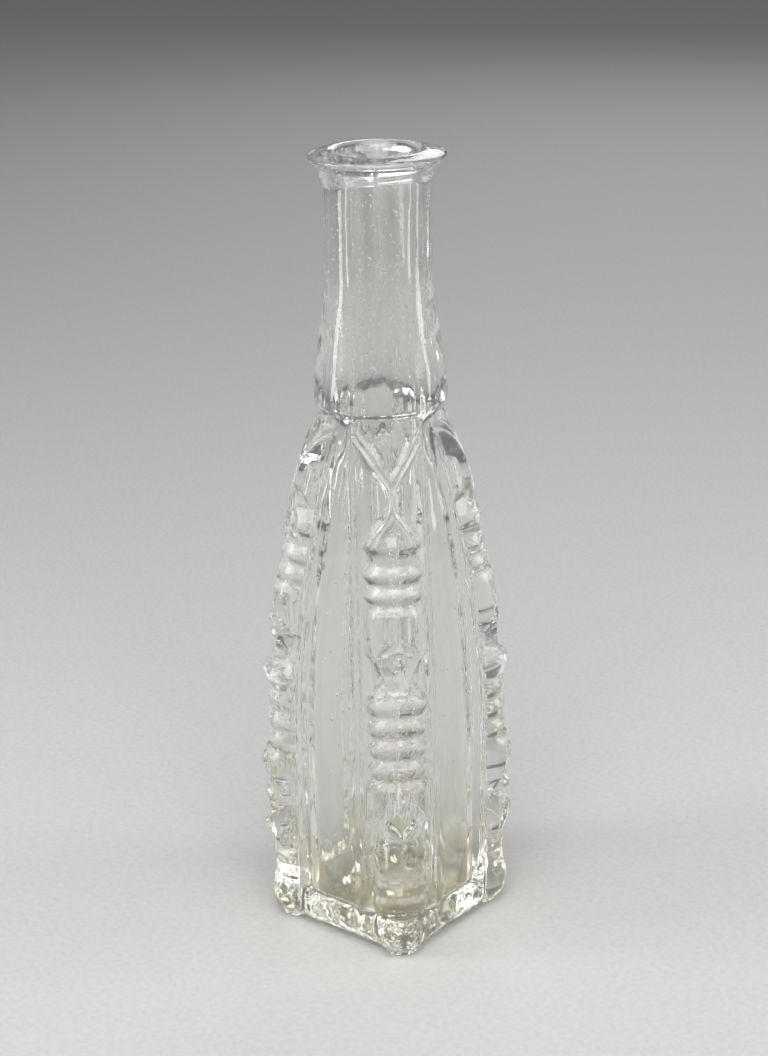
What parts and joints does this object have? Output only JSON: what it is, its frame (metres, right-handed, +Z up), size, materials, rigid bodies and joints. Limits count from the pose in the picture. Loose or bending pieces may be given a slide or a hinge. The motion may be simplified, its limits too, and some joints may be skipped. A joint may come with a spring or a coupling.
{
  "type": "glass bottle",
  "caption": "Small square clear-glass cologne bottle with turned corner columns, sunk panels, a flared neck and an applied lip.",
  "frame": {"origin": "on the bottle's axis, at the face it rests on", "axes": "+Z up the axis towards the mouth; +X and +Y square to two of the sunk panels, with a column on each diagonal"},
  "size_m": [0.0352, 0.0352, 0.1426],
  "materials": {
    "clear_glass": "clear, slightly wavy, with seed bubbles",
    "dried_residue": "dull dried film"
  },
  "bodies": {
    "root": {"lip": "clear_glass", "neck": "clear_glass", "panel_front": "clear_glass", "panel_right": "clear_glass", "panel_back": "clear_glass", "panel_left": "clear_glass", "column_front_right": "clear_glass", "column_back_right": "clear_glass", "column_back_left": "clear_glass", "column_front_left": "clear_glass", "base": "clear_glass", "dried_residue": "dried_residue"}
  },
  "joints": []
}
